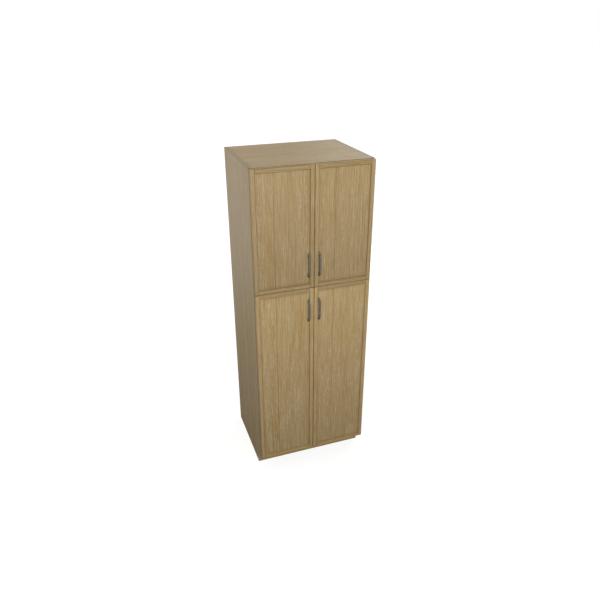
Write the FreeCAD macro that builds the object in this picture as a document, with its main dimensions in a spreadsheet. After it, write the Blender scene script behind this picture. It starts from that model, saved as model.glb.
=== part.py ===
import FreeCAD, Part
import Sketcher
import math
import os

# Tall two-section utility cabinet: frameless case, four framed doors on concealed cup hinges.
# +Z is up, the doors face -Y, and the origin is on the floor under the middle of the whole cabinet.

doc = FreeCAD.newDocument("utility_cabinet")

# Driving sizes in millimetres
sizes = {
    # case boards
    "caseWidth": 762.0,
    "caseDepth": 609.6,
    "caseHeight": 2133.6,
    "sideThick": 19.0,
    "deckThick": 19.0,
    "tongueHeight": 9.0,
    "dadoDepth": 6.0,
    "dadoStop": 20.0,
    "backThick": 6.0,
    "backSpace": 19.0,
    "grooveDepth": 6.0,
    "nailerHeight": 90.0,
    "wallHoleSpacing": 406.4,
    "wallHoleRadius": 3.0,
    "toeHeight": 101.6,
    "toeRecess": 66.7,
    "toeThick": 16.0,
    "splitHeight": 1366.0,
    # loose shelves, their supports and the bored holes
    "shelfThick": 19.0,
    "shelfSetback": 30.0,
    "shelfPlay": 1.5,
    "holePitch": 32.0,
    "holeRadius": 2.5,
    "holeDepth": 12.0,
    "holeSetback": 37.0,
    "supportReach": 9.0,
    "supportWidth": 12.0,
    "supportThick": 3.0,
    # doors
    "doorThick": 22.0,
    "doorGap": 2.0,
    "doorReveal": 1.5,
    "topReveal": 3.0,
    "centreGap": 3.0,
    "splitGap": 3.0,
    "stileWidth": 25.4,
    "railWidth": 25.4,
    "panelRecess": 7.0,
    "panelPlay": 0.3,
    "doorTongueThick": 6.0,
    "doorTongueLength": 9.0,
    "doorTongueRoom": 0.5,
    "easedEdge": 1.0,
    "bumperRadius": 4.0,
    "bumperRoom": 0.3,
    # pulls and their screws
    "pullSpacing": 128.0,
    "pullReach": 26.0,
    "pullRadius": 5.8,
    "pullBend": 13.0,
    "upperPullRise": 148.0,
    "lowerPullDrop": 156.0,
    "footRoom": 0.4,
    "footHalfHeight": 17.0,
    "footHalfWidth": 7.2,
    "footRim": 2.5,
    "shoulderHalfHeight": 13.0,
    "shoulderHalfWidth": 6.9,
    "shoulderStand": 7.0,
    "neckRadius": 5.3,
    "neckStand": 11.0,
    "pullScrewRadius": 2.0,
    "pullScrewBite": 10.0,
    "screwHeadRadius": 4.0,
    "screwHeadHeight": 2.5,
    "screwRoom": 0.25,
    # hinge cups
    "hingeInset": 100.0,
    "cupRadius": 17.5,
    "cupDepth": 13.0,
    "cupInset": 22.5,
    "cupWall": 1.2,
    "flangeThick": 1.2,
    "flangeReach": 33.0,
    "flangeHalfWidth": 11.0,
    "flangeMouth": 9.0,
    "cupScrewSpacing": 48.0,
    "cupScrewOffset": 6.0,
    "cupScrewRadius": 1.8,
    "cupScrewLength": 12.0,
    # hinge links: pins measured from the side's inner face and the case front,
    # or from the door's hinge edge and the door's back
    "innerArmStand": 12.3,
    "innerArmBack": 1.4,
    "innerCupInset": 13.0,
    "innerCupDepth": 4.4,
    "innerBow": 8.2,
    "outerArmStand": 25.5,
    "outerArmBack": 20.4,
    "outerCupInset": 12.2,
    "outerCupDepth": 1.0,
    "outerBow": 8.3,
    "openPinShiftX": 0.17,
    "openPinShiftY": 0.27,
    "openPinSlack": 0.45,
    "linkHalfWidth": 2.5,
    "linkThick": 4.2,
    "linkRoom": 0.2,
    "pinRadius": 1.2,
    "pinRoom": 0.05,
    "earRadius": 2.4,
    "cheekThick": 2.0,
    "cheekRoom": 0.3,
    "cheekHalfWidth": 3.6,
    # hinge arms and mounting plates
    "armThick": 2.0,
    "armStart": 26.0,
    "armEnd": 66.0,
    "plateThick": 9.0,
    "plateHalfLength": 24.0,
    "plateHalfWidth": 6.7,
    "wingThick": 2.5,
    "wingReach": 26.0,
    "wingHalfWidth": 9.0,
    "plateScrewLength": 11.0,
}

sheet = doc.addObject("Spreadsheet::Sheet", "Sizes")
for row, (alias, amount) in enumerate(sizes.items(), start=1):
    sheet.set("A%d" % row, alias)
    sheet.set("B%d" % row, str(amount))
    sheet.setAlias("B%d" % row, alias)
doc.recompute()


class Size:
    """A length that keeps its formula on the sheet beside its number."""

    def __init__(self, text, number):
        self.text = text
        self.number = number

    def __add__(self, other):
        other = asSize(other)
        return Size("(%s + %s)" % (self.text, other.text), self.number + other.number)

    def __sub__(self, other):
        other = asSize(other)
        return Size("(%s - %s)" % (self.text, other.text), self.number - other.number)

    def __mul__(self, other):
        other = asSize(other)
        return Size("(%s * %s)" % (self.text, other.text), self.number * other.number)

    def __truediv__(self, other):
        other = asSize(other)
        return Size("(%s / %s)" % (self.text, other.text), self.number / other.number)

    def __neg__(self):
        return Size("(0 - %s)" % self.text, -self.number)

    __rmul__ = __mul__
    __radd__ = __add__


def asSize(value):
    return value if isinstance(value, Size) else Size("(%s)" % value, float(value))


def rootOf(value):
    return Size("sqrt(%s)" % value.text, math.sqrt(value.number))


class Driving:
    """The driving sizes by name."""


size = Driving()
for alias in sizes:
    setattr(size, alias, Size("Sizes.%s" % alias, float(getattr(sheet, alias))))

# Planes that the pieces share
half = size.caseWidth / 2
innerHalf = half - size.sideThick
pullProud = size.pullReach - size.panelRecess
yBack = (size.caseDepth + size.doorGap + size.doorThick + pullProud) / 2
yCase = yBack - size.caseDepth
yDoorBack = yCase - size.doorGap
yDoorFront = yDoorBack - size.doorThick
yPanel = yDoorFront + size.panelRecess
yBackPanel = (yBack - size.backSpace - size.backThick, yBack - size.backSpace)
zBottom = (size.toeHeight, size.toeHeight + size.deckThick)
zFixed = (size.splitHeight - size.deckThick / 2, size.splitHeight + size.deckThick / 2)
zTop = (size.caseHeight - size.deckThick, size.caseHeight)
doorWidth = half - size.doorReveal - size.centreGap / 2
zLowerDoor = (size.toeHeight, size.splitHeight - size.splitGap / 2)
zUpperDoor = (size.splitHeight + size.splitGap / 2, size.caseHeight - size.topReveal)
floor = asSize(0)

nodes = []
axisTurns = {
    "x": FreeCAD.Rotation(FreeCAD.Vector(0, 1, 0), 90),
    "-x": FreeCAD.Rotation(FreeCAD.Vector(0, 1, 0), -90),
    "y": FreeCAD.Rotation(FreeCAD.Vector(1, 0, 0), -90),
    "-y": FreeCAD.Rotation(FreeCAD.Vector(1, 0, 0), 90),
    "z": FreeCAD.Rotation(),
    "-z": FreeCAD.Rotation(FreeCAD.Vector(1, 0, 0), 180),
}
uprightOval = FreeCAD.Rotation(FreeCAD.Vector(0, 0, 1), FreeCAD.Vector(-1, 0, 0), FreeCAD.Vector(0, -1, 0))
outward = {1: "-x", -1: "x"}
inward = {1: "x", -1: "-x"}


def bind(thing, name, value):
    thing.setExpression(name, asSize(value).text)


def place(thing, x, y, z, turn=FreeCAD.Rotation()):
    spot = [asSize(value) for value in (x, y, z)]
    thing.Placement = FreeCAD.Placement(FreeCAD.Vector(*[value.number for value in spot]), turn)
    for letter, value in zip("xyz", spot):
        bind(thing, "Placement.Base.%s" % letter, value)


def board(name, x, y, z):
    """A squared board between a low and a high plane on each axis."""
    box = doc.addObject("Part::Box", name)
    for side, span in zip(("Length", "Width", "Height"), (x, y, z)):
        bind(box, side, span[1] - span[0])
    place(box, x[0], y[0], z[0])
    return box


def rod(name, start, axis, radius, length):
    """A round bar from a point along an axis."""
    bar = doc.addObject("Part::Cylinder", name)
    bind(bar, "Radius", radius)
    bind(bar, "Height", length)
    place(bar, *start, turn=axisTurns[axis])
    return bar


def fuse(name, pieces):
    joined = doc.addObject("Part::MultiFuse", name)
    joined.Shapes = pieces
    joined.Refine = True
    return joined


def cut(name, base, tools):
    result = doc.addObject("Part::Cut", name)
    result.Base = base
    result.Tool = tools[0] if len(tools) == 1 else fuse(name + "_tools", tools)
    result.Refine = True
    return result


def gather(name, pieces):
    """Several separate solids in one object."""
    group = doc.addObject("Part::Compound", name)
    group.Links = pieces
    return group


def node(thing, label):
    thing.Label = label
    nodes.append(thing)


def copies(name, master, heights):
    """The same piece at several heights."""
    links = []
    for index, height in enumerate(heights):
        link = doc.addObject("App::Link", "%s_%d" % (name, index))
        link.setLink(master)
        link.LinkTransform = True
        bind(link, "Placement.Base.z", height)
        links.append(link)
    return gather(name, links)


def eased(name, base, isArris):
    """Break the sharp edges that isArris picks by their middle point."""
    doc.recompute()
    width = size.easedEdge.number
    picked = []
    for index, edge in enumerate(base.Shape.Edges, start=1):
        if isArris(edge.CenterOfMass):
            picked.append((index, width, width))
    soft = doc.addObject("Part::Chamfer", name)
    soft.Base = base
    soft.Edges = picked
    return soft


def originPlane(body, role):
    return [plane for plane in body.Origin.OriginFeatures if plane.Role == role][0]


def newSketch(body, name, role):
    sketch = body.newObject("Sketcher::SketchObject", name)
    sketch.AttachmentSupport = [(originPlane(body, role), "")]
    sketch.MapMode = "FlatFace"
    return sketch


def dimension(sketch, kind, *where):
    """Add a dimension; the last entry is its size."""
    amount = asSize(where[-1])
    index = sketch.addConstraint(Sketcher.Constraint(kind, *where[:-1], amount.number))
    bind(sketch, "Constraints[%d]" % index, amount)


def flat(x, y):
    return FreeCAD.Vector(x, y, 0)


def arc(centre, radius, start, end):
    return Part.ArcOfCircle(Part.Circle(centre, FreeCAD.Vector(0, 0, 1), radius), start, end)


def pinCircles(sketch, length, radius):
    """Two equal circles, on the origin and at a length along the sketch's first axis."""
    upward = FreeCAD.Vector(0, 0, 1)
    for centre in (flat(0, 0), flat(length.number, 0)):
        sketch.addGeometry(Part.Circle(centre, upward, radius.number), False)
    sketch.addConstraint(Sketcher.Constraint("Coincident", 0, 3, -1, 1))
    sketch.addConstraint(Sketcher.Constraint("PointOnObject", 1, 3, -1))
    sketch.addConstraint(Sketcher.Constraint("Equal", 0, 1))
    dimension(sketch, "Radius", 0, radius)
    dimension(sketch, "DistanceX", -1, 1, 1, 3, length)


def bowedOutline(sketch, length, rise, halfWidth):
    """A strap bent along an arc, with a round end about each of its two pins."""
    bend = (length * length / 4 + rise * rise) / (2 * rise)
    centre = flat(length.number / 2, rise.number - bend.number)
    near = math.atan2(-centre.y, -centre.x)
    far = math.atan2(-centre.y, length.number - centre.x)
    sketch.addGeometry([
        arc(centre, bend.number + halfWidth.number, far, near),
        arc(flat(0, 0), halfWidth.number, near, near + math.pi),
        arc(centre, bend.number - halfWidth.number, far, near),
        arc(flat(length.number, 0), halfWidth.number, far + math.pi, far + 2 * math.pi),
    ], False)
    for joint in ((0, 2, 1, 1), (1, 2, 2, 2), (2, 1, 3, 1), (3, 2, 0, 1)):
        sketch.addConstraint(Sketcher.Constraint("Tangent", *joint))
    sketch.addConstraint(Sketcher.Constraint("Coincident", 0, 3, 2, 3))
    sketch.addConstraint(Sketcher.Constraint("Coincident", 1, 3, -1, 1))
    sketch.addConstraint(Sketcher.Constraint("PointOnObject", 3, 3, -1))
    dimension(sketch, "DistanceX", -1, 1, 3, 3, length)
    dimension(sketch, "Radius", 1, halfWidth)
    dimension(sketch, "Radius", 0, bend + halfWidth)


def straightOutline(sketch, length, halfWidth):
    """A straight strap with round ends about its two pins."""
    reach = length.number
    width = halfWidth.number
    quarter = math.pi / 2
    sketch.addGeometry([
        Part.LineSegment(flat(reach, width), flat(0, width)),
        arc(flat(0, 0), width, quarter, 3 * quarter),
        Part.LineSegment(flat(0, -width), flat(reach, -width)),
        arc(flat(reach, 0), width, -quarter, quarter),
    ], False)
    for joint in ((0, 2, 1, 1), (1, 2, 2, 1), (2, 2, 3, 1), (3, 2, 0, 1)):
        sketch.addConstraint(Sketcher.Constraint("Tangent", *joint))
    sketch.addConstraint(Sketcher.Constraint("Coincident", 1, 3, -1, 1))
    sketch.addConstraint(Sketcher.Constraint("PointOnObject", 3, 3, -1))
    dimension(sketch, "DistanceX", -1, 1, 3, 3, length)
    dimension(sketch, "Radius", 1, halfWidth)


def pad(body, name, sketch, length, downward=False):
    feature = body.newObject("PartDesign::Pad", name)
    feature.Profile = sketch
    bind(feature, "Length", length)
    feature.Reversed = downward
    return feature


# Case

def sideX(hand, inset):
    """Distance inward from the outer face of the left (1) or right (-1) side, as an x."""
    return hand * (inset - half)


def acrossX(hand, near, far):
    ends = (sideX(hand, asSize(near)), sideX(hand, asSize(far)))
    return ends if hand > 0 else (ends[1], ends[0])


def middle(span):
    return (span[0] + span[1]) / 2


def tongueSpan(z):
    return (middle(z) - size.tongueHeight / 2, middle(z) + size.tongueHeight / 2)


bayLower = (zBottom[1], zFixed[0])
bayUpper = (zFixed[1], zTop[0])


def shelfHeights(bay):
    """Underside heights of two loose shelves that share a bay evenly."""
    return [bay[0] + (bay[1] - bay[0]) * (part / 3) for part in (1, 2)]


shelves = {
    "lower_shelf_1": shelfHeights(bayLower)[0],
    "lower_shelf_2": shelfHeights(bayLower)[1],
    "upper_shelf_1": shelfHeights(bayUpper)[0],
    "upper_shelf_2": shelfHeights(bayUpper)[1],
}
holeRows = (yCase + size.holeSetback, yBackPanel[0] - size.holeSetback)


def hingeHeights(z, count):
    low = z[0] + size.hingeInset
    high = z[1] - size.hingeInset
    return [low + (high - low) * (index / (count - 1)) for index in range(count)]


hingesLower = hingeHeights(zLowerDoor, 3)
hingesUpper = hingeHeights(zUpperDoor, 2)
plateScrewSpots = (-size.holePitch / 2, size.holePitch / 2)
toeRun = (yCase + size.toeRecess, yCase + size.toeRecess + size.toeThick)
dadoRun = {"bottom": yBack, "fixed": yBackPanel[0], "top": yBack}


def sidePanel(label, hand):
    """Side board with its toe notch, housings for the other boards and bored holes."""
    name = label + "_board"
    inner = size.sideThick
    housing = acrossX(hand, inner - size.dadoDepth, inner)
    whole = acrossX(hand, 0, inner)
    tools = [board(name + "_toe_notch", whole, (yCase, toeRun[0]), (floor, size.toeHeight))]
    for key, z in (("bottom", zBottom), ("fixed", zFixed), ("top", zTop)):
        run = (yCase + size.dadoStop, dadoRun[key])
        tools.append(board("%s_%s_dado" % (name, key), housing, run, tongueSpan(z)))
    tools.append(board(name + "_toe_dado", housing, toeRun, (floor, size.toeHeight)))
    groove = acrossX(hand, inner - size.grooveDepth, inner)
    grooveRun = (zBottom[1] - size.grooveDepth, zTop[0] + size.grooveDepth)
    tools.append(board(name + "_back_groove", groove, yBackPanel, grooveRun))
    spots = []
    for height in shelves.values():
        centre = height - size.supportThick / 2
        for row in holeRows:
            spots += [(row, centre + size.holePitch * step) for step in (-1, 0, 1)]
    for height in hingesLower + hingesUpper:
        spots += [(holeRows[0], height + offset) for offset in plateScrewSpots]
    for index, (y, z) in enumerate(spots):
        tools.append(rod("%s_hole_%d" % (name, index), (sideX(hand, inner), y, z), outward[hand],
                         size.holeRadius, size.holeDepth))
    blank = board(name, whole, (yCase, yBack), (floor, size.caseHeight))
    node(cut(name + "_cut", blank, tools), label)


def deck(label, z, run, groove=None):
    """Horizontal board housed in both sides by a tongue that stops short of the front."""
    name = label + "_board"
    body = board(name, (-innerHalf, innerHalf), (yCase, run), z)
    reach = innerHalf + size.dadoDepth
    tongue = board(name + "_tongue", (-reach, reach), (yCase + size.dadoStop, run), tongueSpan(z))
    whole = fuse(name + "_whole", [body, tongue])
    if groove:
        slot = board(name + "_groove", (-reach, reach), yBackPanel, groove)
        whole = cut(name + "_cut", whole, [slot])
    node(whole, label)


sidePanel("left_side_panel", 1)
sidePanel("right_side_panel", -1)
deck("top_panel", zTop, dadoRun["top"], (zTop[0], zTop[0] + size.grooveDepth))
deck("bottom_panel", zBottom, dadoRun["bottom"], (zBottom[1] - size.grooveDepth, zBottom[1]))
deck("fixed_shelf", zFixed, dadoRun["fixed"])

nailerLows = (zBottom[1], zFixed[0] - size.nailerHeight, zTop[0] - size.nailerHeight)


def wallHoles(name, y, lows):
    """Screw holes in line with wall studs, through the nailers that start at the given heights."""
    holes = []
    for low in lows:
        for x in (-size.wallHoleSpacing / 2, size.wallHoleSpacing / 2):
            start = (x, y[0], low + size.nailerHeight / 2)
            holes.append(rod("%s_hole_%d" % (name, len(holes)), start, "y",
                             size.wallHoleRadius, y[1] - y[0]))
    return holes


screwedNailers = (nailerLows[0], nailerLows[2])
backReach = innerHalf + size.grooveDepth - size.panelPlay
backEnds = (zBottom[1] - size.grooveDepth + size.panelPlay, zTop[0] + size.grooveDepth - size.panelPlay)
backBoard = board("back_board", (-backReach, backReach), yBackPanel, backEnds)
node(cut("back_board_cut", backBoard, wallHoles("back_board", yBackPanel, screwedNailers)), "back_panel")

yNailer = (yBackPanel[1], yBack)
nailerBoards = []
for index, low in enumerate(nailerLows):
    name = "nailer_%d" % index
    nailer = board(name, (-innerHalf, innerHalf), yNailer, (low, low + size.nailerHeight))
    if low in screwedNailers:
        nailer = cut(name + "_cut", nailer, wallHoles(name, yNailer, [low]))
    nailerBoards.append(nailer)
node(gather("nailer_group", nailerBoards), "nailers")

toeReach = innerHalf + size.dadoDepth
node(board("toe_board", (-toeReach, toeReach), toeRun, (floor, size.toeHeight)), "toe_kick")

# Loose shelves on bored supports

shelfRun = (yCase + size.shelfSetback, yBackPanel[0] - size.shelfPlay)
shelfReach = innerHalf - size.shelfPlay
supports = []
for label, low in shelves.items():
    node(board(label + "_board", (-shelfReach, shelfReach), shelfRun, (low, low + size.shelfThick)), label)
    for hand in (1, -1):
        for row in holeRows:
            name = "support_%d" % len(supports)
            shank = rod(name + "_shank", (sideX(hand, size.sideThick), row, low - size.supportThick / 2),
                        outward[hand], size.holeRadius, size.holeDepth - size.shelfPlay)
            tabRun = (row - size.supportWidth / 2, row + size.supportWidth / 2)
            tab = board(name + "_tab", acrossX(hand, size.sideThick, size.sideThick + size.supportReach),
                        tabRun, (low - size.supportThick, low))
            supports.append(fuse(name, [shank, tab]))
node(gather("support_group", supports), "shelf_pins")

# Concealed hinges: an inner and an outer link join the arm on the side to the cup in the door

layerTop = size.linkRoom + size.linkThick
cheekSpan = (layerTop + size.cheekRoom, layerTop + size.cheekRoom + size.cheekThick)
upperLayer = cheekSpan
lowerLayer = (-cheekSpan[1], -cheekSpan[0])


def fromArm(stand, back):
    """A pin on the arm: inset from the side's outer face, and y."""
    return (size.sideThick + stand, yCase + back)


def fromCup(inset, depth):
    """A pin in the cup: inset from the side's outer face, and y."""
    return (size.doorReveal + inset, yDoorBack - depth)


innerArmPin = fromArm(size.innerArmStand, size.innerArmBack)
innerCupPin = fromCup(size.innerCupInset, size.innerCupDepth)
outerArmPin = fromArm(size.outerArmStand, size.outerArmBack)
outerCupPin = fromCup(size.outerCupInset, size.outerCupDepth)
openHole = fromCup(size.outerCupInset - size.openPinShiftX, size.outerCupDepth + size.openPinShiftY)
cupCentre = size.doorReveal + size.cupInset
armInset = size.sideThick + size.plateThick
armTail = (armInset + size.armThick / 2, yCase + size.armEnd - size.plateHalfWidth)


def layOut(body, hand, start, end, z):
    """Put a body's origin on a start pin with its first axis towards an end pin; give their distance."""
    spanX = hand * (end[0] - start[0])
    spanY = end[1] - start[1]
    angle = math.degrees(math.atan2(spanY.number, spanX.number))
    place(body, sideX(hand, start[0]), start[1], z, FreeCAD.Rotation(FreeCAD.Vector(0, 0, 1), angle))
    body.setExpression("Placement.Rotation.Angle", "atan2(%s; %s)" % (spanY.text, spanX.text))
    return rootOf(spanX * spanX + spanY * spanY)


def hingeLink(name, hand, armPin, cupPin, bow, upward):
    """A bowed link with a pin at each end that stands out on its open side."""
    body = doc.addObject("PartDesign::Body", name)
    start, end = (armPin, cupPin) if hand > 0 else (cupPin, armPin)
    length = layOut(body, hand, start, end, size.linkRoom if upward else -size.linkRoom)
    outline = newSketch(body, name + "_outline", "XY_Plane")
    bowedOutline(outline, length, bow, size.linkHalfWidth)
    pad(body, name + "_strap", outline, size.linkThick, not upward)
    circles = newSketch(body, name + "_pins", "XY_Plane")
    pinCircles(circles, length, size.pinRadius)
    pad(body, name + "_pin_pad", circles, cheekSpan[1] - size.linkRoom, not upward)
    return body


def cheek(name, hand, pin, layer):
    """One side of the arm's channel, from its tail to a pin hole."""
    body = doc.addObject("PartDesign::Body", name)
    length = layOut(body, hand, pin, armTail, layer[0])
    outline = newSketch(body, name + "_outline", "XY_Plane")
    straightOutline(outline, length, size.cheekHalfWidth)
    pad(body, name + "_plate", outline, layer[1] - layer[0])
    return body


def aboutPin(name, hand, pin, layer, radius):
    """A round bar about a pin's axis, as thick as one layer of the hinge."""
    return rod(name, (sideX(hand, pin[0]), pin[1], layer[0]), "z", radius, layer[1] - layer[0])


def hingeArm(name, hand):
    """Channel arm: a web on the mounting plate and two cheeks that carry the links' pins."""
    web = board(name + "_web", acrossX(hand, armInset, armInset + size.armThick),
                (yCase + size.armStart, yCase + size.armEnd), (lowerLayer[0], upperLayer[1]))
    upper = cheek(name + "_upper_cheek", hand, innerArmPin, upperLayer)
    lower = cheek(name + "_lower_cheek", hand, outerArmPin, lowerLayer)
    keepBack = board(name + "_plate_room", acrossX(hand, size.sideThick, armInset),
                     (yCase, yCase + size.caseDepth), (lowerLayer[0], upperLayer[1]))
    radius = size.pinRadius + size.pinRoom
    holes = [
        aboutPin(name + "_inner_hole", hand, innerArmPin, upperLayer, radius),
        aboutPin(name + "_outer_hole", hand, outerArmPin, lowerLayer, radius),
        keepBack,
    ]
    return cut(name, fuse(name + "_solid", [web, upper, lower]), holes)


def mountingPlate(name, hand):
    """Cross-shaped plate: a raised block for the arm and two round-ended wings for its screws."""
    y = yCase + size.holeSetback
    blockHeight = (-size.plateHalfWidth, size.plateHalfWidth)
    block = board(name + "_block", acrossX(hand, size.sideThick, armInset),
                  (y - size.plateHalfWidth, y + size.plateHalfLength), blockHeight)
    straight = size.wingReach - size.wingHalfWidth
    wings = [board(name + "_wings", acrossX(hand, size.sideThick, size.sideThick + size.wingThick),
                   (y - size.wingHalfWidth, y + size.wingHalfWidth), (-straight, straight))]
    for index, offset in enumerate((-straight, straight)):
        start = (sideX(hand, size.sideThick), y, offset)
        wings.append(rod("%s_tip_%d" % (name, index), start, inward[hand],
                         size.wingHalfWidth, size.wingThick))
    holes = []
    for index, offset in enumerate(plateScrewSpots):
        start = (sideX(hand, size.sideThick), y, offset)
        holes.append(rod("%s_hole_%d" % (name, index), start, inward[hand], size.holeRadius, size.wingThick))
    return cut(name, fuse(name + "_solid", [block] + wings), holes)


def screw(name, seat, axis, back, shank, length):
    """A plain screw: its shank runs from the seat along an axis, its head stands back from it."""
    body = rod(name + "_shank", seat, axis, shank, length)
    head = rod(name + "_head", seat, back, size.screwHeadRadius, size.screwHeadHeight)
    return fuse(name, [body, head])


def plateScrews(name, hand):
    y = yCase + size.holeSetback
    parts = []
    for index, offset in enumerate(plateScrewSpots):
        seat = (sideX(hand, size.sideThick + size.wingThick), y, offset)
        parts.append(screw("%s_%d" % (name, index), seat, outward[hand], inward[hand],
                           size.holeRadius, size.wingThick + size.plateScrewLength))
    return gather(name, parts)


def cupScrewSpots(hand):
    return [(sideX(hand, cupCentre + size.cupScrewOffset), offset)
            for offset in (-size.cupScrewSpacing / 2, size.cupScrewSpacing / 2)]


def hingeCup(name, hand):
    """Cup sunk in the door's back, with round-ended flange wings and two ears for the pins."""
    floorY = yDoorBack - size.cupDepth
    centre = sideX(hand, cupCentre)
    shell = rod(name + "_shell", (centre, floorY, floor), "y", size.cupRadius, size.cupDepth)
    hollowRadius = size.cupRadius - size.cupWall
    hollow = rod(name + "_hollow", (centre, floorY + size.cupWall, floor), "y", hollowRadius, size.cupDepth)
    bowl = cut(name + "_bowl", shell, [hollow])
    flangeMiddle = cupCentre + size.cupScrewOffset / 2
    flangeX = acrossX(hand, flangeMiddle - size.flangeHalfWidth, flangeMiddle + size.flangeHalfWidth)
    flangeY = (yDoorBack, yDoorBack + size.flangeThick)
    tip = size.flangeReach - size.flangeHalfWidth
    pieces = [bowl]
    wingSpans = ((size.flangeMouth, tip, tip), (-tip, -size.flangeMouth, -tip))
    for index, (low, high, end) in enumerate(wingSpans):
        strip = board("%s_wing_%d" % (name, index), flangeX, flangeY, (low, high))
        rounded = rod("%s_tip_%d" % (name, index), (sideX(hand, flangeMiddle), yDoorBack, end), "y",
                      size.flangeHalfWidth, size.flangeThick)
        mouth = rod("%s_mouth_%d" % (name, index), (centre, yDoorBack, floor), "y",
                    hollowRadius, size.flangeThick)
        wing = fuse("%s_whole_wing_%d" % (name, index), [strip, rounded])
        pieces.append(cut("%s_open_wing_%d" % (name, index), wing, [mouth]))
    holes = []
    ears = (
        ("inner", innerCupPin, upperLayer, size.pinRadius + size.pinRoom),
        ("outer", openHole, lowerLayer, size.pinRadius + size.openPinSlack),
    )
    for key, pin, layer, radius in ears:
        eye = aboutPin("%s_%s_eye" % (name, key), hand, pin, layer, size.earRadius)
        stemX = acrossX(hand, pin[0] - size.earRadius, pin[0] + size.earRadius)
        stem = board("%s_%s_stem" % (name, key), stemX, (floorY, pin[1]), layer)
        pieces += [eye, stem]
        holes.append(aboutPin("%s_%s_hole" % (name, key), hand, pin, layer, radius))
    for index, (x, z) in enumerate(cupScrewSpots(hand)):
        holes.append(rod("%s_screw_hole_%d" % (name, index), (x, yDoorBack, z), "y",
                         size.cupScrewRadius, size.flangeThick))
    return cut(name, fuse(name + "_solid", pieces), holes)


def cupScrews(name, hand):
    parts = []
    for index, (x, z) in enumerate(cupScrewSpots(hand)):
        seat = (x, yDoorBack + size.flangeThick, z)
        parts.append(screw("%s_%d" % (name, index), seat, "-y", "y",
                           size.cupScrewRadius, size.cupScrewLength))
    return gather(name, parts)


hinges = {}
for hand, side in ((1, "left"), (-1, "right")):
    hinges[hand] = {
        "arm": hingeArm(side + "_arm", hand),
        "plate": mountingPlate(side + "_plate", hand),
        "plateScrews": plateScrews(side + "_plate_screws", hand),
        "cup": hingeCup(side + "_cup", hand),
        "cupScrews": cupScrews(side + "_cup_screws", hand),
        "inner": hingeLink(side + "_inner_link", hand, innerArmPin, innerCupPin, size.innerBow, True),
        "outer": hingeLink(side + "_outer_link", hand, outerArmPin, outerCupPin, size.outerBow, False),
    }

for part, label in (("arm", "hinge_arms"), ("plate", "mounting_plates"), ("plateScrews", "plate_screws")):
    groups = [copies("%s_copies_%d" % (label, index), hinges[hand][part], hingesLower + hingesUpper)
              for index, hand in enumerate((1, -1))]
    node(gather(label + "_group", groups), label)

# Doors

yTongue = ((yPanel + yDoorBack - size.doorTongueThick) / 2, (yPanel + yDoorBack + size.doorTongueThick) / 2)
slotDepth = size.doorTongueLength + size.doorTongueRoom


def oval(name, x, stand, z, halfHeight, halfWidth):
    """An upright oval that stands in front of a door panel and faces out."""
    ring = doc.addObject("Part::Ellipse", name)
    bind(ring, "MajorRadius", halfHeight)
    bind(ring, "MinorRadius", halfWidth)
    place(ring, x, yPanel - stand, z, turn=uprightOval)
    return ring


def loft(name, rings):
    skin = doc.addObject("Part::Loft", name)
    skin.Sections = rings
    skin.Solid = True
    return skin


def pullFoot(name, x, z):
    """A pull's oval foot: a straight rim on the panel, and a shoulder that draws in to the bar."""
    base = oval(name + "_base", x, floor, z, size.footHalfHeight, size.footHalfWidth)
    rim = oval(name + "_rim", x, size.footRim, z, size.footHalfHeight, size.footHalfWidth)
    shoulder = oval(name + "_shoulder", x, size.shoulderStand, z,
                    size.shoulderHalfHeight, size.shoulderHalfWidth)
    neck = oval(name + "_neck", x, size.neckStand, z, size.neckRadius, size.neckRadius)
    return [loft(name + "_plate", [base, rim]), loft(name + "_flare", [rim, shoulder, neck])]


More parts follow.
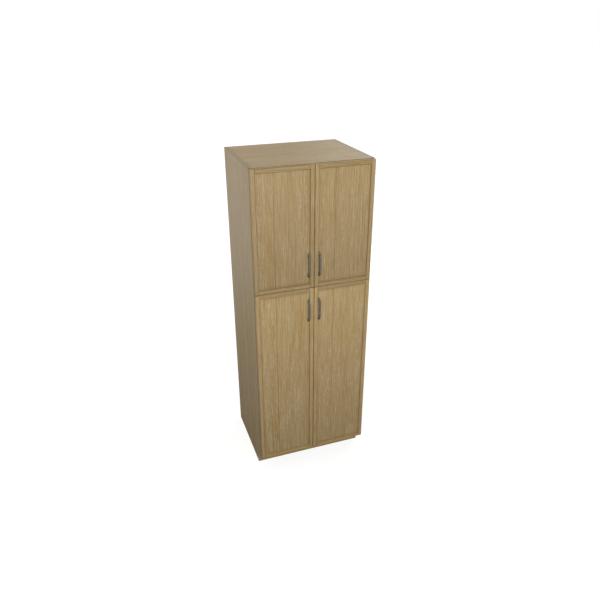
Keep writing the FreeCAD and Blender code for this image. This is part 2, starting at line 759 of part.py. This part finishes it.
def pull(name, x, z):
    """Bow pull: a round bar bent forward from two oval feet, which are tapped for screws."""
    body = doc.addObject("PartDesign::Body", name)
    place(body, x, yPanel, z)
    top = size.pullSpacing / 2
    reach = size.pullReach - size.pullRadius
    front = -reach.number
    bend = size.pullBend.number
    high = top.number
    path = newSketch(body, name + "_path", "YZ_Plane")
    path.addGeometry([
        Part.LineSegment(flat(0, high), flat(front + bend, high)),
        arc(flat(front + bend, high - bend), bend, math.pi / 2, math.pi),
        Part.LineSegment(flat(front, high - bend), flat(front, bend - high)),
        arc(flat(front + bend, bend - high), bend, math.pi, 3 * math.pi / 2),
        Part.LineSegment(flat(front + bend, -high), flat(0, -high)),
    ], False)
    for joint in ((0, 2, 1, 1), (1, 2, 2, 1), (2, 2, 3, 1), (3, 2, 4, 1)):
        path.addConstraint(Sketcher.Constraint("Tangent", *joint))
    for line, turn in ((0, "Horizontal"), (2, "Vertical"), (4, "Horizontal")):
        path.addConstraint(Sketcher.Constraint(turn, line))
    path.addConstraint(Sketcher.Constraint("PointOnObject", 0, 1, -2))
    path.addConstraint(Sketcher.Constraint("Equal", 1, 3))
    path.addConstraint(Sketcher.Constraint("Symmetric", 0, 1, 4, 2, -1, 1))
    dimension(path, "Radius", 1, size.pullBend)
    dimension(path, "DistanceY", 4, 2, 0, 1, size.pullSpacing)
    dimension(path, "DistanceX", 2, 1, -1, 1, reach)
    section = newSketch(body, name + "_section", "XZ_Plane")
    section.addGeometry(Part.Circle(flat(0, high), FreeCAD.Vector(0, 0, 1), size.pullRadius.number), False)
    section.addConstraint(Sketcher.Constraint("PointOnObject", 0, 3, -2))
    dimension(section, "DistanceY", -1, 1, 0, 3, top)
    dimension(section, "Radius", 0, size.pullRadius)
    doc.recompute()
    bow = body.newObject("PartDesign::AdditivePipe", name + "_bow")
    bow.Profile = section
    bow.Spine = (path, ["Edge%d" % index for index in range(1, 6)])
    feet = []
    for index, offset in enumerate((-top, top)):
        feet += pullFoot("%s_foot_%d" % (name, index), x, z + offset)
    taps = [rod("%s_tap_%d" % (name, index), (x, yPanel, z + offset), "-y",
                size.pullScrewRadius, size.pullScrewBite)
            for index, offset in enumerate((-top, top))]
    return cut(name + "_tapped", fuse(name + "_footed", [body] + feet), taps)


def buildDoor(door, hand, z, heights, pullHeight):
    """Framed door: stiles the full height, rails between them, and a tongued panel recessed at the front."""

    def along(near, far):
        """A span measured from the door's hinge edge."""
        return acrossX(hand, size.doorReveal + near, size.doorReveal + far)

    yDoor = (yDoorFront, yDoorBack)
    farStile = doorWidth - size.stileWidth
    hingeEdge = asSize(0)
    railMiddle = middle(along(size.stileWidth, farStile))

    def isFront(spot):
        return abs(spot.y - yDoorFront.number) < size.easedEdge.number / 10

    def isFrontAlongRail(spot):
        return isFront(spot) and abs(spot.x - railMiddle.number) < size.railWidth.number

    bores = []
    for index, height in enumerate(heights):
        start = (sideX(hand, cupCentre), yDoorBack, height)
        bores.append(rod("%s_bore_%d" % (door, index), start, "-y", size.cupRadius, size.cupDepth))
        for number, (x, offset) in enumerate(cupScrewSpots(hand)):
            bores.append(rod("%s_pilot_%d_%d" % (door, index, number), (x, yDoorBack, height + offset), "-y",
                             size.cupScrewRadius, size.cupScrewLength - size.flangeThick))

    for key, near, far in (("hinge_stile", hingeEdge, size.stileWidth), ("pull_stile", farStile, doorWidth)):
        name = "%s_%s_stick" % (door, key)
        stick = eased(name + "_eased", board(name, along(near, far), yDoor, z), isFront)
        slot = (far - slotDepth, far) if key == "hinge_stile" else (near, near + slotDepth)
        tools = [board(name + "_slot", along(*slot), yTongue, z)]
        if key == "hinge_stile":
            tools += bores
        node(cut(name + "_cut", stick, tools), "%s_%s" % (door, key))

    tenon = size.doorTongueLength
    tenonSpan = along(size.stileWidth - tenon, farStile + tenon)
    for key, low in (("bottom_rail", z[0]), ("top_rail", z[1] - size.railWidth)):
        name = "%s_%s_stick" % (door, key)
        high = low + size.railWidth
        bar = board(name, along(size.stileWidth, farStile), yDoor, (low, high))
        stick = eased(name + "_eased", bar, isFrontAlongRail)
        ends = board(name + "_tenons", tenonSpan, yTongue, (low, high))
        slot = (high - slotDepth, high) if key == "bottom_rail" else (low, low + slotDepth)
        groove = board(name + "_slot", tenonSpan, yTongue, slot)
        node(cut(name + "_cut", fuse(name + "_tenoned", [stick, ends]), [groove]), "%s_%s" % (door, key))

    fieldZ = (z[0] + size.railWidth + size.panelPlay, z[1] - size.railWidth - size.panelPlay)
    fieldX = along(size.stileWidth + size.panelPlay, farStile - size.panelPlay)
    field = board(door + "_field", fieldX, (yPanel, yDoorBack), fieldZ)
    tongue = board(door + "_field_tongue", tenonSpan, yTongue,
                   (z[0] + size.railWidth - tenon, z[1] - size.railWidth + tenon))
    pullX = sideX(hand, size.doorReveal + farStile - size.footRoom - size.footHalfWidth)
    pullSpots = [pullHeight - size.pullSpacing / 2, pullHeight + size.pullSpacing / 2]
    holes = [rod("%s_pull_hole_%d" % (door, index), (pullX, yDoorBack, height), "-y",
                 size.pullScrewRadius + size.screwRoom, size.doorThick - size.panelRecess)
             for index, height in enumerate(pullSpots)]
    panel = fuse(door + "_panel_whole", [field, tongue])
    node(cut(door + "_panel_cut", panel, bores + holes), door + "_panel")

    node(pull(door + "_pull_body", pullX, pullHeight), door + "_pull")

    screws = [screw("%s_pull_screw_%d" % (door, index), (pullX, yDoorBack, height), "-y", "y",
                    size.pullScrewRadius, size.doorThick - size.panelRecess + size.pullScrewBite)
              for index, height in enumerate(pullSpots)]
    screws.append(copies(door + "_cup_screw_copies", hinges[hand]["cupScrews"], heights))
    node(gather(door + "_screw_group", screws), door + "_screws")

    bumperX = sideX(hand, size.doorReveal + doorWidth - size.stileWidth / 2)
    bumpers = [rod("%s_bumper_%d" % (door, index), (bumperX, yDoorBack, height), "y",
                   size.bumperRadius, size.doorGap - size.bumperRoom)
               for index, height in enumerate((z[0] + size.railWidth / 2, z[1] - size.railWidth / 2))]
    node(gather(door + "_bumper_group", bumpers), door + "_bumpers")

    for part, key in (("cup", "hinge_cups"), ("inner", "inner_links"), ("outer", "outer_links")):
        node(copies("%s_%s_copies" % (door, key), hinges[hand][part], heights), "%s_%s" % (door, key))


for hand, side in ((1, "left"), (-1, "right")):
    buildDoor("upper_%s" % side, hand, zUpperDoor, hingesUpper, zUpperDoor[0] + size.upperPullRise)
    buildDoor("lower_%s" % side, hand, zLowerDoor, hingesLower, zLowerDoor[1] - size.lowerPullDrop)

doc.recompute()

# Check every feature before anything is written
for thing in doc.Objects:
    if "Invalid" in thing.State or "Error" in thing.State:
        raise RuntimeError("%s did not build" % thing.Name)
for piece in nodes:
    if piece.Shape.isNull() or not piece.Shape.isValid():
        raise RuntimeError("%s has no valid shape" % piece.Label)

os.makedirs("parts", exist_ok=True)
for piece in nodes:
    piece.Shape.exportStep("parts/%s.step" % piece.Label)
print(len(nodes), "pieces written")
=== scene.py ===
import bpy
import math
import numpy as np
from mathutils import Matrix, Vector


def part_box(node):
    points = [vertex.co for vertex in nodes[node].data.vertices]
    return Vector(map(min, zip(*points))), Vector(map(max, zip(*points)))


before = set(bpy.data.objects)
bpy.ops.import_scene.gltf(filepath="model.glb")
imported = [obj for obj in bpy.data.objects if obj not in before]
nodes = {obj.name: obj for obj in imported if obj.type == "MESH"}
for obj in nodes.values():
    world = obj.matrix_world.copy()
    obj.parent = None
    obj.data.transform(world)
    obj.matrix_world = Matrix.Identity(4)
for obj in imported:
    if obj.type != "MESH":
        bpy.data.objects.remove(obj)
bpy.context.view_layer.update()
scene = bpy.context.scene
noiseMiddle = 0.5  # what a noise texture gives on average
print("frame loaded:", len(nodes), "pieces")


# A socket of a shader tree. Sums and products of wires add their own Math nodes.
class Wire:
    def __init__(self, tree, socket=None):
        self.tree = tree
        self.socket = socket

    # one node: its settings first, then the values or links of its sockets
    def make(self, kind, settings=None, inputs=None, output=0):
        made = self.tree.nodes.new(kind)
        for name, value in (settings or {}).items():
            setattr(made, name, value)
        for name, value in (inputs or {}).items():
            if isinstance(value, Wire):
                self.tree.links.new(value.socket, made.inputs[name])
            else:
                made.inputs[name].default_value = value
        return Wire(self.tree, made.outputs[output])

    def maths(self, operation, first, second=0.0):
        return self.make("ShaderNodeMath", {"operation": operation}, {0: first, 1: second})

    def __add__(self, other):
        return self.maths("ADD", self, other)

    def __sub__(self, other):
        return self.maths("SUBTRACT", self, other)

    def __mul__(self, other):
        return self.maths("MULTIPLY", self, other)

    def __truediv__(self, other):
        return self.maths("DIVIDE", self, other)

    def __radd__(self, other):
        return self.maths("ADD", other, self)

    def __rsub__(self, other):
        return self.maths("SUBTRACT", other, self)

    def __rmul__(self, other):
        return self.maths("MULTIPLY", other, self)

    def __rtruediv__(self, other):
        return self.maths("DIVIDE", other, self)

    def lesser(self, other):
        return self.maths("MINIMUM", self, other)

    def greater(self, other):
        return self.maths("MAXIMUM", self, other)

    def above(self, other):
        return self.maths("GREATER_THAN", self, other)

    # how far this value is from another one
    def gap(self, other):
        return self.maths("ABSOLUTE", self - other)

    # how far a noise value swings to either side of its middle
    def swing(self):
        return self - noiseMiddle

    # 0 at low and 1 at high, eased at both ends
    def rise(self, low, high):
        return self.make("ShaderNodeMapRange", {"interpolation_type": "SMOOTHSTEP"},
                         {"Value": self, "From Min": low, "From Max": high})

    # 1 at low and 0 at high, eased at both ends
    def fall(self, low, high):
        return 1 - self.rise(low, high)

    # one colour changed to another by a share: sockets 6, 7 and output 2 are the node's colours
    def mix(self, share, first, second, way="MIX"):
        return self.make("ShaderNodeMix", {"data_type": "RGBA", "blend_type": way},
                         {0: share, 6: first, 7: second}, output=2)

    # this colour changed to another one
    def blend(self, share, other, way="MIX"):
        return self.mix(share, self, other, way)

    # this place moved by a vector
    def moved(self, way):
        return self.make("ShaderNodeVectorMath", {"operation": "ADD"}, {0: self, 1: way})

    # a colour or vector of three values
    def joined(self, values):
        return self.make("ShaderNodeCombineXYZ", {}, dict(enumerate(values)))

    # the three coordinates of this place
    def parts(self):
        split = self.make("ShaderNodeSeparateXYZ", {}, {"Vector": self}).socket.node
        return [Wire(self.tree, output) for output in split.outputs]

    # noise at this place
    def noise(self, scale, detail, roughness=0.5):
        return self.make("ShaderNodeTexNoise", {}, {"Vector": self, "Scale": scale, "Detail": detail,
                                                    "Roughness": roughness})

    # a normal that this height dents
    def bump(self, strength, distance):
        return self.make("ShaderNodeBump", {}, {"Strength": strength, "Distance": distance, "Height": self})

    # a link from here to a socket of a shader
    def feed(self, shader, name):
        self.tree.links.new(self.socket, shader.inputs[name])


def rgba(red, green, blue):
    return (red, green, blue, 1.0)


# A new material, the place on its object and its shader
def newMaterial(name):
    material = bpy.data.materials.new(name)
    material.use_nodes = True
    spot = Wire(material.node_tree).make("ShaderNodeTexCoord", output="Object")
    return material, spot, material.node_tree.nodes["Principled BSDF"]


# Camera where the photograph was taken from: places in metres, angles in degrees, lens in millimetres
cameraLook = {
    "place": (-1.1315, -3.2924, 2.8650),
    "azimuth": 19.1647,
    "elevation": 26.4293,
    "roll": -0.2481,
    "lens": 34.0108,
    "sensor": 36.0,
    "clipEnd": 100.0,
}


def addCamera(look):
    azimuth, elevation, roll = (math.radians(look[key]) for key in ("azimuth", "elevation", "roll"))
    back = Vector((-math.sin(azimuth) * math.cos(elevation), -math.cos(azimuth) * math.cos(elevation),
                   math.sin(elevation)))
    right = (-back).cross(Vector((0, 0, 1))).normalized()
    up = right.cross(-back)
    rolledRight = math.cos(roll) * right + math.sin(roll) * up
    rolledUp = math.cos(roll) * up - math.sin(roll) * right
    data = bpy.data.cameras.new("camera")
    data.sensor_width = look["sensor"]
    data.lens = look["lens"]
    data.clip_end = look["clipEnd"]
    camera = bpy.data.objects.new("camera", data)
    scene.collection.objects.link(camera)
    turn = Matrix((rolledRight, rolledUp, back)).transposed().to_4x4()
    camera.matrix_world = Matrix.Translation(Vector(look["place"])) @ turn
    scene.camera = camera


addCamera(cameraLook)
scene.view_settings.view_transform = "Standard"
print("camera set")


# Oak: fibres along one axis, growth streaks, short flecks, pores, end grain, dark joints and painted shade
oakLook = {
    "pale": rgba(0.440, 0.342, 0.195),
    "deep": rgba(0.330, 0.208, 0.064),
    "thread": rgba(0.225, 0.140, 0.050),
    "fleck": rgba(0.50, 0.46, 0.35),
    "pore": rgba(0.15, 0.092, 0.036),
    # line: dark veneer seams and joints, and painted shade along gaps and in the panel recesses
    "line": rgba(0.14, 0.088, 0.036),
    # noise fields: scale across the fibres, scale along them, detail
    "fields": {
        "band": (16.0, 0.8, 2.0),
        "streak": (150.0, 1.1, 3.0),
        "column": (300.0, 8.0, 2.0),
        "swell": (150.0, 38.0, 2.0),
        "thread": (480.0, 7.0, 3.0),
        "pores": (1300.0, 45.0, 1.0),
        "rays": (11.0, 0.6, 1.0),
    },
    "fieldRoughness": 0.55,
    "shiftReach": 40.0,  # each board is cut from its own place in the noise
    "leafJump": (3.7, 1.3, 5.1),
    # how the fields add up between the deep and the pale colour
    "shortGain": 3.0,
    "streakWeight": 0.45,
    "shortWeight": 0.9,
    "swellWeight": 0.5,
    "paleRange": (0.12, 0.88),
    # where threads, flecks and pores show in their fields, and how strongly
    "threadRange": (0.52, 0.30),
    "threadShare": 0.55,
    "fleckBand": 0.08,
    "fleckShort": (0.56, 0.78),
    "fleckSwell": (0.48, 0.60),
    "fleckRays": (0.50, 0.66),
    "fleckShare": 0.6,
    "poreRange": (0.60, 0.72),
    "poreStreak": (0.62, 0.40),
    "poreShare": 0.5,
    # dark lines in metres, and the share of their width that is fully dark
    "seamRange": (0.0006, 0.0032),
    "lineWidth": 0.0048,
    "lineCore": 0.3,
    "cornerCore": 0.18,
    # end grain: how near to an end it starts, in metres, and its shade
    "endRange": (0.0002, 0.0006),
    "endShade": 0.82,
    # gloss and relief
    "roughness": 0.44,
    "poreRoughness": 0.15,
    "shortRoughness": 0.1,
    "streakHeight": 0.3,
    "threadHeight": 0.3,
    "poreDepth": 0.6,
    "bumpStrength": 0.25,
    "bumpDistance": 0.0004,
}

# What a board has unless its own settings say otherwise
plainBoard = {
    "grain": "Z",
    "tone": 1.0,
    "tint": (1.0, 1.0, 1.0),
    "fade": 0.0,  # painted shade: how much darker it gets down to its foot
    "bands": 0.3,  # contrast of the growth bands
    "figure": 1.0,  # strength of the ray flecks
    "seams": (),  # share of the width, strength
    "flecks": (),  # share of the width, strength
    "corners": (),  # axis, place, strength, width of dark joints and painted shade by a panel
    "lineShare": 0.7,  # darkness of the lines along its edges: dark joints and painted shade in the gaps
    "tongue": 0.0,  # length of each end that is hidden in a neighbour
    "drop": 0.0,  # above 0 where the lower edge has no line
    "gloss": 0.45,
}


# Noise drawn out along the fibres, one wire for each field
def oakFields(place, grain):
    fields = {}
    for name, (across, along, detail) in oakLook["fields"].items():
        scale = [across, across, across]
        scale["XYZ".index(grain)] = along
        spot = place.make("ShaderNodeMapping", {}, {"Vector": place, "Scale": scale})
        fields[name] = spot.noise(1.0, detail, oakLook["fieldRoughness"])
    return fields


# How far a point is from a box's two faces across each axis
def faceDistances(place, low, high):
    return [(place[axis] - low[axis]).lesser(high[axis] - place[axis]) for axis in range(3)]


# How far a point of a board's skin is from its nearest edge: the middle one of the three distances
def edgeDistance(ways):
    x, y, z = ways
    return x.lesser(y).greater(x.greater(y).lesser(z))


def oakMaterial(name, box, seed, board):
    look = oakLook
    material, spot, shader = newMaterial(name)
    low, high = box
    wide = high[0] - low[0]
    at = spot.parts()
    # the box that its edge lines follow, without the tongues
    ways = faceDistances(at, low + Vector((board["tongue"], 0.0, -board["drop"])),
                         high - Vector((board["tongue"], 0.0, 0.0)))
    reach = look["shiftReach"]
    place = spot.moved(tuple(np.random.default_rng(seed).uniform(-reach, reach, 3)))
    lines = 0.0
    for share, strength in board["seams"]:
        # leaves of veneer: beyond each seam the figure starts afresh
        seam = low[0] + share * wide
        beyond = at[0].above(seam)
        place = place.moved(spot.joined(beyond * jump for jump in look["leafJump"]))
        lines = at[0].gap(seam).fall(*look["seamRange"]) * strength + lines
    field = oakFields(place, board["grain"])
    streak, swell, thread = field["streak"], field["swell"], field["thread"]
    short = field["column"].swing() * swell * look["shortGain"] + noiseMiddle
    mixed = (field["band"].swing() * board["bands"] + streak.swing() * look["streakWeight"]
             + short.swing() * look["shortWeight"] + swell.swing() * look["swellWeight"] + noiseMiddle)
    colour = spot.mix(mixed.rise(*look["paleRange"]), look["deep"], look["pale"])
    colour = colour.blend(thread.rise(*look["threadRange"]) * look["threadShare"], look["thread"])
    rays = field["rays"]
    for middle, strength in board["flecks"]:
        # ray flecks stand in a few upright bands of the leaf
        share = (at[0] - low[0]) / wide
        rays = share.gap(middle).fall(0.0, look["fleckBand"]) * strength + rays
    fleck = (short.rise(*look["fleckShort"]) * swell.rise(*look["fleckSwell"])
             * rays.rise(*look["fleckRays"]))
    colour = colour.blend(fleck * (look["fleckShare"] * board["figure"]), look["fleck"])
    pore = field["pores"].rise(*look["poreRange"]) * streak.rise(*look["poreStreak"])
    colour = colour.blend(pore * look["poreShare"], look["pore"])
    # dark lines along each board's edges: dark joints, and painted shade in the gaps and corners
    core = look["lineWidth"] * look["lineCore"]
    edge = edgeDistance(ways).fall(core, look["lineWidth"]) * board["lineShare"]
    for axis, corner, strength, width in board["corners"]:
        # dark joint between a panel and its frame, with painted shade of the recess along it
        edge = edge.greater(at[axis].gap(corner).fall(width * look["cornerCore"], width) * strength)
    colour = colour.blend(edge + lines, look["line"])
    endFace = ways["XYZ".index(board["grain"])].fall(*look["endRange"])
    # painted shade darkens the board towards its foot, and end grain is darker as well
    paintedFallShade = (high[2] - at[2]) * (board["fade"] / (high[2] - low[2]))
    fallShadeAndEndGrain = (1 - paintedFallShade) * (1 - endFace * (1 - look["endShade"]))
    stain = spot.joined(fallShadeAndEndGrain * (board["tone"] * tint) for tint in board["tint"])
    colour.blend(1.0, stain, "MULTIPLY").feed(shader, "Base Color")
    rough = look["roughness"] + pore * look["poreRoughness"] + short * look["shortRoughness"]
    rough.feed(shader, "Roughness")
    shader.inputs["Specular IOR Level"].default_value = board["gloss"]
    height = streak * look["streakHeight"] + thread * look["threadHeight"] - pore * look["poreDepth"]
    height.bump(look["bumpStrength"], look["bumpDistance"]).feed(shader, "Normal")
    return material


def dress(name, material):
    mesh = nodes[name].data
    mesh.materials.clear()
    mesh.materials.append(material)


# Boards of the cabinet
sideBoard = {"fade": 0.03, "bands": 0.7}
looseBoard = {"grain": "X"}
housedBoard = {"grain": "X", "tongue": 0.006}
boards = {
    "left_side_panel": sideBoard,
    "right_side_panel": sideBoard,
    "top_panel": {**housedBoard, "figure": 0.5, "tone": 1.115, "tint": (1.0, 1.01, 1.04), "lineShare": 0.35,
                  "gloss": 0.22},
    "bottom_panel": housedBoard,
    "fixed_shelf": housedBoard,
    "back_panel": {"tone": 0.95},
    # the toe kick's higher tone is painted light, lifting it where it sits in shade under the doors
    "toe_kick": {**housedBoard, "tone": 1.12, "lineShare": 0.1},
    "nailers": {**looseBoard, "tone": 0.95},
    "upper_shelf_1": looseBoard,
    "upper_shelf_2": looseBoard,
    "lower_shelf_1": looseBoard,
    "lower_shelf_2": looseBoard,
}

# Boards of the doors. A line is a dark joint of panel and frame with painted shade; a soft one is painted
# shade.
stileLook = {"tint": (1.03, 1.0, 0.97), "figure": 0.3}
pullStileLine = 0.2
plainRail = {"grain": "X", "figure": 0.3}
outerRail = {**plainRail, "tint": (1.03, 1.0, 0.86), "drop": 0.02}
middleRail = {**plainRail, "tint": (1.01, 1.0, 0.97), "tone": 0.89}
panelLook = {
    "seams": ((0.335, 0.55), (0.59, 0.2)),
    "flecks": ((0.08, 0.24), (0.26, 0.14), (0.86, 0.12)),
}
panelLight = 1.02
jointLook = {
    "lineWidth": 0.0044,
    "topLine": 0.5,
    "paintedShadeWidth": 0.025,
    "paintedShadeLeft": 0.12,
    "paintedShadeLeftWidth": 0.024,
    "paintedShadeRight": 0.2,
    "paintedShadeRightWidth": 0.016,
}
# door tone is partly painted light: the lower doors lighter than the upper ones, where less light reaches
# them;
# the darkening towards each door's foot is painted shade
upperDoor = {
    "tone": 1.015,
    "fade": 0.16,
    "bottomLine": 0.45,
    "topLineDrop": 0.003,
    "paintedShadeEnd": "bottom",
    "bottomRail": {**middleRail, "lineShare": 0.35, "drop": 0.02},
}
lowerDoor = {
    "tone": 1.155,
    "fade": 0.20,
    "bottomLine": 0.4,
    "topLineDrop": 0.004,
    "paintedShadeEnd": "top",
    "topRail": {**middleRail, "lineShare": 0.0},
    "bottomRail": {**outerRail, "tone": 1.02, "lineShare": 0.6},
}
# light is painted light: the left doors a little darker and the right ones lighter, as the lamp reaches
# them unevenly
leftDoor = {"light": 0.99, "leftLine": 0.95, "rightLine": 0.70, "paintedShadeLine": 0.26, "hingeStileLine": 0.4}
rightDoor = {"light": 1.02, "leftLine": 0.8, "rightLine": 0.5, "paintedShadeLine": 0.18, "hingeStileLine": 0.15}
doorLooks = {
    "upper_left": {**upperDoor, **leftDoor, "topRail": {**outerRail, "tone": 0.83, "lineShare": 0.7}},
    "upper_right": {**upperDoor, **rightDoor, "topRail": {**outerRail, "tone": 0.87, "lineShare": 0.4}},
    "lower_left": {**lowerDoor, **leftDoor},
    "lower_right": {**lowerDoor, **rightDoor},
}


# Settings for the five boards of a door, with the joints where its frame is and painted shade beside them
def doorBoards(door, look):
    stiles = [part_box(door + "_hinge_stile"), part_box(door + "_pull_stile")]
    stiles.sort(key=lambda box: box[0][0])
    bottomRail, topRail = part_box(door + "_bottom_rail"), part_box(door + "_top_rail")
    left, right = stiles[0][1][0], stiles[1][0][0]
    bottom, top = bottomRail[1][2], topRail[0][2]
    thin = jointLook["lineWidth"]
    corners = (
        (0, left, look["leftLine"], thin),
        (0, right, look["rightLine"], thin),
        (2, bottom, look["bottomLine"], thin),
        (2, top - look["topLineDrop"], jointLook["topLine"], thin),
        (2, bottom if look["paintedShadeEnd"] == "bottom" else top, look["paintedShadeLine"], jointLook["paintedShadeWidth"]),
        (0, left, jointLook["paintedShadeLeft"], jointLook["paintedShadeLeftWidth"]),
        (0, right, jointLook["paintedShadeRight"], jointLook["paintedShadeRightWidth"]),
    )
    tone = look["tone"] * look["light"]
    stile = {**stileLook, "tone": tone, "fade": look["fade"]}
    tenon = {"tongue": left - topRail[0][0]}
    panel = {**panelLook, "tone": tone * panelLight, "fade": look["fade"], "corners": corners}
    return {
        door + "_hinge_stile": {**stile, "lineShare": look["hingeStileLine"]},
        door + "_pull_stile": {**stile, "lineShare": pullStileLine},
        door + "_top_rail": {**look["topRail"], **tenon},
        door + "_bottom_rail": {**look["bottomRail"], **tenon},
        door + "_panel": panel,
    }


for door, look in doorLooks.items():
    boards.update(doorBoards(door, look))
for seed, (name, board) in enumerate(boards.items()):
    dress(name, oakMaterial("oak_" + name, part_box(name), seed, {**plainBoard, **board}))
print("oak boards dressed:", len(boards))


# Metal: fine grain in colour, gloss and normal, and faint clouds in the colour
metalLooks = {
    "pewter": {
        "colour": rgba(0.166, 0.156, 0.137),
        "roughness": 0.60,
        "grainScale": 900.0,
        "grainShare": 0.10,
    },
    "nickel": {
        "colour": rgba(0.62, 0.60, 0.56),
        "roughness": 0.22,
        "grainScale": 500.0,
        "grainShare": 0.08,
    },
    "zinc": {
        "colour": rgba(0.56, 0.57, 0.58),
        "roughness": 0.30,
        "grainScale": 700.0,
        "grainShare": 0.12,
    },
}
metalGrain = {
    "fineDetail": 3.0,
    "cloudScale": 40.0,
    "cloudDetail": 2.0,
    "cloudShare": 0.2,
    "bumpStrength": 0.05,
    "bumpDistance": 0.0002,
}


def metalMaterial(name, look):
    grain = metalGrain
    material, spot, shader = newMaterial(name)
    fine = spot.noise(look["grainScale"], grain["fineDetail"])
    cloud = spot.noise(grain["cloudScale"], grain["cloudDetail"])
    light = fine.swing() * look["grainShare"] + cloud.swing() * grain["cloudShare"] + 1
    spot.mix(1.0, look["colour"], spot.joined([light] * 3), "MULTIPLY").feed(shader, "Base Color")
    (look["roughness"] + fine.swing() * look["grainShare"]).feed(shader, "Roughness")
    shader.inputs["Metallic"].default_value = 1.0
    fine.bump(grain["bumpStrength"], grain["bumpDistance"]).feed(shader, "Normal")
    return material


# Rubber of the bumpers
rubberLook = {
    "dark": rgba(0.20, 0.20, 0.19),
    "light": rgba(0.30, 0.30, 0.29),
    "grainScale": 600.0,
    "grainDetail": 2.0,
    "roughness": 0.55,
    "grainRoughness": 0.2,
}


def rubberMaterial(name, look):
    material, spot, shader = newMaterial(name)
    fine = spot.noise(look["grainScale"], look["grainDetail"])
    spot.mix(fine, look["dark"], look["light"]).feed(shader, "Base Color")
    (look["roughness"] + fine * look["grainRoughness"]).feed(shader, "Roughness")
    return material


cabinetMetal = {
    "shelf_pins": "nickel",
    "hinge_arms": "nickel",
    "mounting_plates": "nickel",
    "plate_screws": "zinc",
}
doorMetal = {
    "pull": "pewter",
    "screws": "zinc",
    "hinge_cups": "nickel",
    "inner_links": "nickel",
    "outer_links": "nickel",
}
metals = {name: metalMaterial(name, look) for name, look in metalLooks.items()}
rubber = rubberMaterial("bumper_rubber", rubberLook)
for name, finish in cabinetMetal.items():
    dress(name, metals[finish])
for door in doorLooks:
    for piece, finish in doorMetal.items():
        dress("%s_%s" % (door, piece), metals[finish])
    dress(door + "_bumpers", rubber)
print("metal and rubber dressed:", len(cabinetMetal) + len(doorLooks) * (len(doorMetal) + 1))


# Floor, lamps and white surround
stageLook = {
    "white": rgba(1.0, 1.0, 1.0),
    "skyStrength": 0.42,
    "floorSize": 30.0,
    "floorColour": rgba(0.28, 0.28, 0.28),
    "floorGlow": 0.82,
    "floorRange": (0.3, 5.5),  # from the lit floor to white backdrop
    "aim": (0.0, 0.0, 1.3),
    "lamps": {
        "key": {"place": (-0.8, -4.1, 2.9), "size": 2.8, "power": 125.0},
        "side": {"place": (-2.3, 0.3, 3.0), "size": 1.8, "power": 12.0},
        "back": {"place": (2.6, 3.0, 3.2), "size": 2.6, "power": 24.0},
        "fill": {"place": (3.0, 2.6, 1.2), "size": 2.4, "power": 75.0},
    },
}


# 1 for what the eye sees straight or through glass, and a share of that for what it sees in a gloss
def seenByEye(wire, gloss=1.0):
    path = wire.make("ShaderNodeLightPath").socket.node
    names = ("Is Camera Ray", "Is Glossy Ray", "Is Transmission Ray")
    straight, mirrored, through = [Wire(wire.tree, path.outputs[name]) for name in names]
    return straight.greater(mirrored * gloss).greater(through)


def addFloor(look):
    half = look["floorSize"] / 2
    corners = [(-half, -half, 0), (half, -half, 0), (half, half, 0), (-half, half, 0)]
    mesh = bpy.data.meshes.new("floor")
    mesh.from_pydata(corners, [], [(0, 1, 2, 3)])
    floor = bpy.data.objects.new("floor", mesh)
    scene.collection.objects.link(floor)
    material, spot, shader = newMaterial("floor_pale")
    shader.inputs["Base Color"].default_value = look["floorColour"]
    shader.inputs["Roughness"].default_value = 1.0
    shader.inputs["Specular IOR Level"].default_value = 0.0
    shader.inputs["Emission Strength"].default_value = 1.0
    away = spot.make("ShaderNodeVectorMath", {"operation": "LENGTH"}, {0: spot}, output="Value")
    # by the cabinet the floor is lit and mirrored as it is, and further off it turns to white backdrop
    far = away.rise(*look["floorRange"])
    glow = look["floorGlow"] + far * (1.0 - look["floorGlow"])
    (seenByEye(spot, far) * glow).feed(shader, "Emission Color")
    mesh.materials.append(material)


def addLamp(name, look, aim):
    data = bpy.data.lights.new(name, "AREA")
    data.shape = "SQUARE"
    data.size = look["size"]
    data.energy = look["power"]
    lamp = bpy.data.objects.new(name, data)
    lamp.location = look["place"]
    lamp.rotation_mode = "QUATERNION"
    lamp.rotation_quaternion = (Vector(look["place"]) - Vector(aim)).to_track_quat("Z", "Y")
    lamp.visible_camera = False
    scene.collection.objects.link(lamp)


def addSurround(look):
    world = bpy.data.worlds.new("surround")
    world.use_nodes = True
    scene.world = world
    background = world.node_tree.nodes["Background"]
    background.inputs["Color"].default_value = look["white"]
    seen = seenByEye(Wire(world.node_tree))
    (look["skyStrength"] + seen * (1.0 - look["skyStrength"])).feed(background, "Strength")


addFloor(stageLook)
for lampName, lampLook in stageLook["lamps"].items():
    addLamp(lampName, lampLook, stageLook["aim"])
addSurround(stageLook)
print("floor, lamps and surround set")
